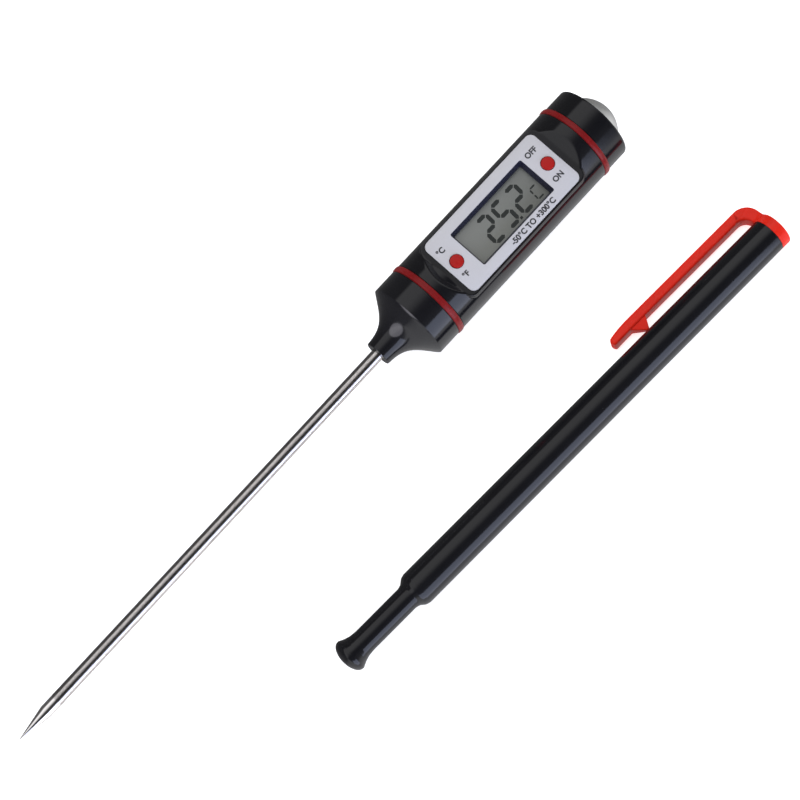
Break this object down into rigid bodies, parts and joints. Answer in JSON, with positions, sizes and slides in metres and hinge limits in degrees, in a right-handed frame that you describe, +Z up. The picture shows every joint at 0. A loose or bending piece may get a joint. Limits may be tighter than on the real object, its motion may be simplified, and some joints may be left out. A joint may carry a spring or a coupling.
{
  "type": "digital pen thermometer",
  "caption": "Pen-style digital probe thermometer with a steel spike, a faced display, a screw battery cap and a clip-on sheath lying beside it.",
  "frame": {"origin": "middle of the whole object's footprint, on the table it lies on", "axes": "+X along the thermometer from the probe's tip to the battery cap, +Z up out of the display, +Y to the side away from the sheath"},
  "size_m": [0.2482, 0.0762, 0.0256],
  "materials": {
    "steel": "polished drawn stainless steel",
    "black_plastic": "glossy moulded ABS",
    "red_plastic": "glossy moulded polypropylene",
    "label": "satin printed face plate",
    "lcd": "reflective liquid crystal panel behind glass",
    "silver": "satin metallised",
    "cell_can": "nickel-plated can",
    "circuit": "green solder mask",
    "rubber": "matt black rubber",
    "brass": "plated brass strip",
    "wire_jacket": "thin insulated wire",
    "bead_glass": "epoxy bead"
  },
  "bodies": {
    "thermometer": {"probe_tube": "steel", "probe_tip": "steel", "sensor_bead": "bead_glass", "sensor_lead_left": "wire_jacket", "sensor_lead_right": "wire_jacket", "nose_housing": "black_plastic", "probe_ferrule": "brass", "lower_ring": "red_plastic", "main_housing": "black_plastic", "label_plate": "label", "display_frame": "black_plastic", "lcd_panel": "lcd", "contact_strip": "rubber", "circuit_board": "circuit", "controller_chip": "rubber", "unit_switch": "rubber", "power_switch": "rubber", "board_screw_front": "steel", "board_screw_rear": "steel", "button_cell": "cell_can", "cell_spring": "steel", "cell_side_contact": "brass", "battery_lead_left": "wire_jacket", "battery_lead_right": "wire_jacket", "cap_seal": "rubber"},
    "unit_button_body": {"unit_button": "red_plastic"},
    "power_button_body": {"power_button": "red_plastic"},
    "cap_ring_body": {"upper_ring": "red_plastic"},
    "cap_body": {"battery_cap": "black_plastic", "end_dome": "silver", "cap_pad": "rubber"},
    "sheath_body": {"sheath_tube": "black_plastic", "clip_collar": "red_plastic"},
    "clip_body": {"clip_arm": "red_plastic"}
  },
  "joints": [
    {"name": "unit_button_press", "type": "slide", "parent": "thermometer", "child": "unit_button_body", "axis": [0, 0, -1], "range_m": [0, 0.0005], "stiffness_N_per_m": 400},
    {"name": "power_button_press", "type": "slide", "parent": "thermometer", "child": "power_button_body", "axis": [0, 0, -1], "range_m": [0, 0.0005], "stiffness_N_per_m": 400},
    {"name": "cap_travel", "type": "slide", "parent": "thermometer", "child": "cap_ring_body", "axis": [1, 0, 0], "range_m": [0, 0.00451]},
    {"name": "cap_turn", "type": "hinge", "parent": "cap_ring_body", "child": "cap_body", "pos_m": [0.10436, 0.02535, 0.0128], "axis": [1, 0, 0], "range_deg": [0, 1080]},
    {"name": "sheath_draw", "type": "slide", "parent": "thermometer", "child": "sheath_body", "axis": [-0.9989, 0.0466, 0], "range_m": [0, 0.1455]},
    {"name": "clip_flex", "type": "hinge", "parent": "sheath_body", "child": "clip_body", "pos_m": [0.11698, -0.02101, 0.00212], "axis": [-0.0128, -0.2753, -0.9613], "range_deg": [0, 8], "stiffness_Nm_per_rad": 2.5}
  ],
  "couplings": [
    {"joint": "cap_travel", "follows": "cap_turn", "m_per_rad": 0.00023873}
  ]
}
